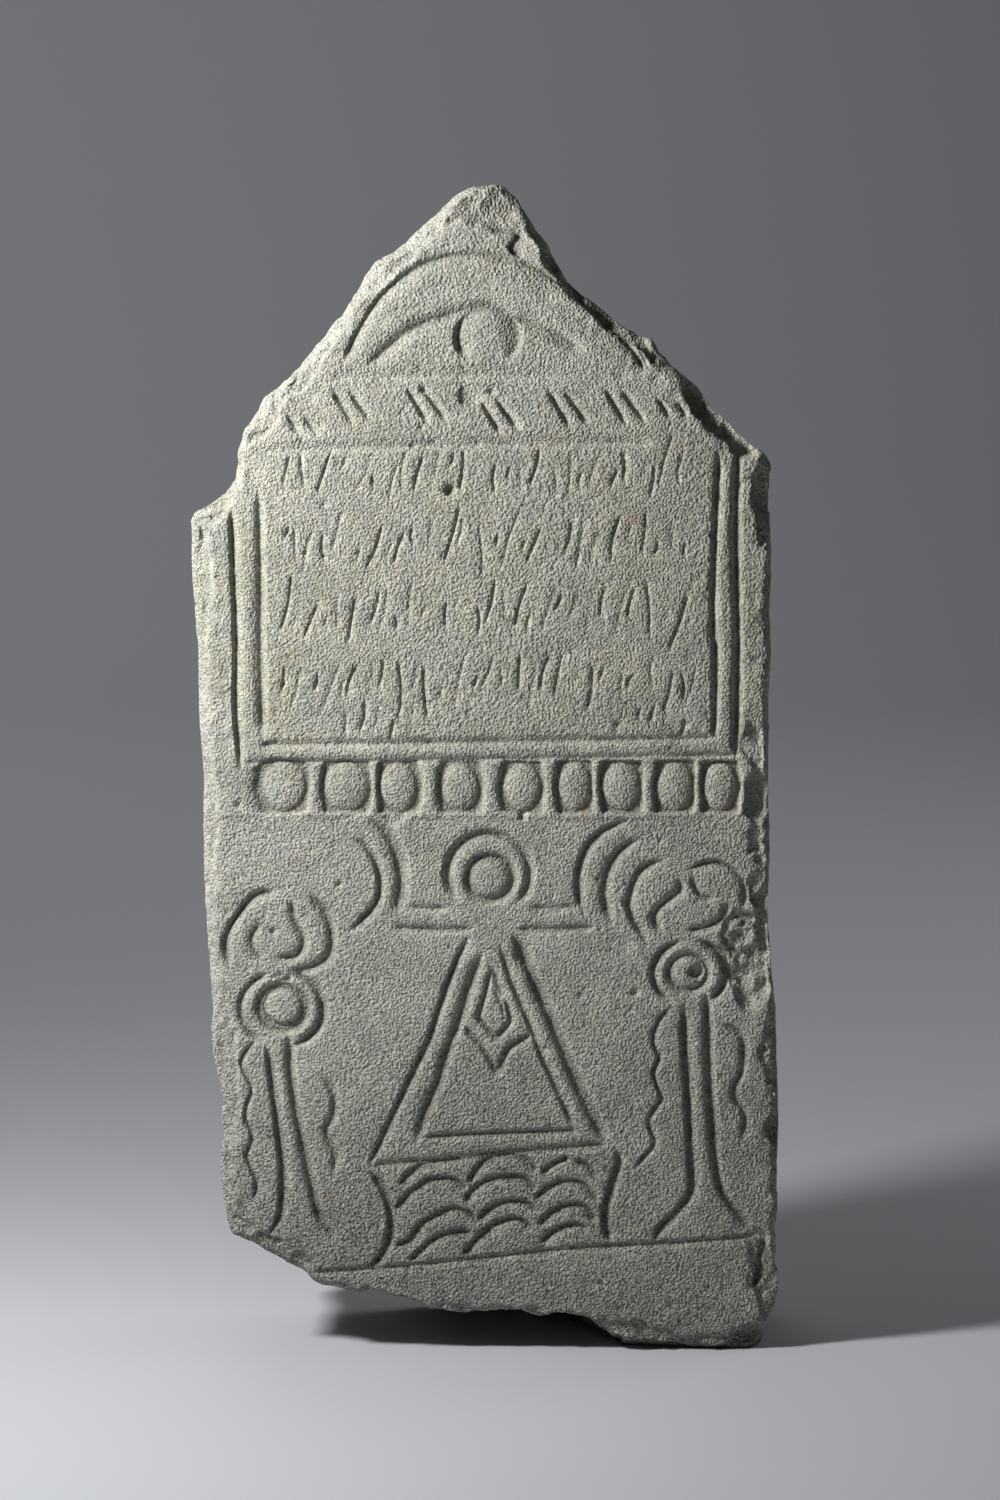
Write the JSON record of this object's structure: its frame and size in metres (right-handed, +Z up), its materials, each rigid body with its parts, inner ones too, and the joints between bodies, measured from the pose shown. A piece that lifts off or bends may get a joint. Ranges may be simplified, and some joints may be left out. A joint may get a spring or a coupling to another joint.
{
  "type": "carved stone stele",
  "caption": "Upright stone slab with a broken gable top and a broken foot; its front carries a framed panel, a bead band and incised symbols.",
  "frame": {"origin": "under the middle of the slab, on the ground it stands on", "axes": "+Z up, +X to the right of a viewer facing the carving, -Y toward that viewer: the carved face looks to -Y"},
  "size_m": [0.252, 0.09, 0.5],
  "materials": {
    "stone": "rough, granular, weathered, no sheen"
  },
  "bodies": {
    "root": {"stele_slab": "stone"}
  },
  "joints": []
}
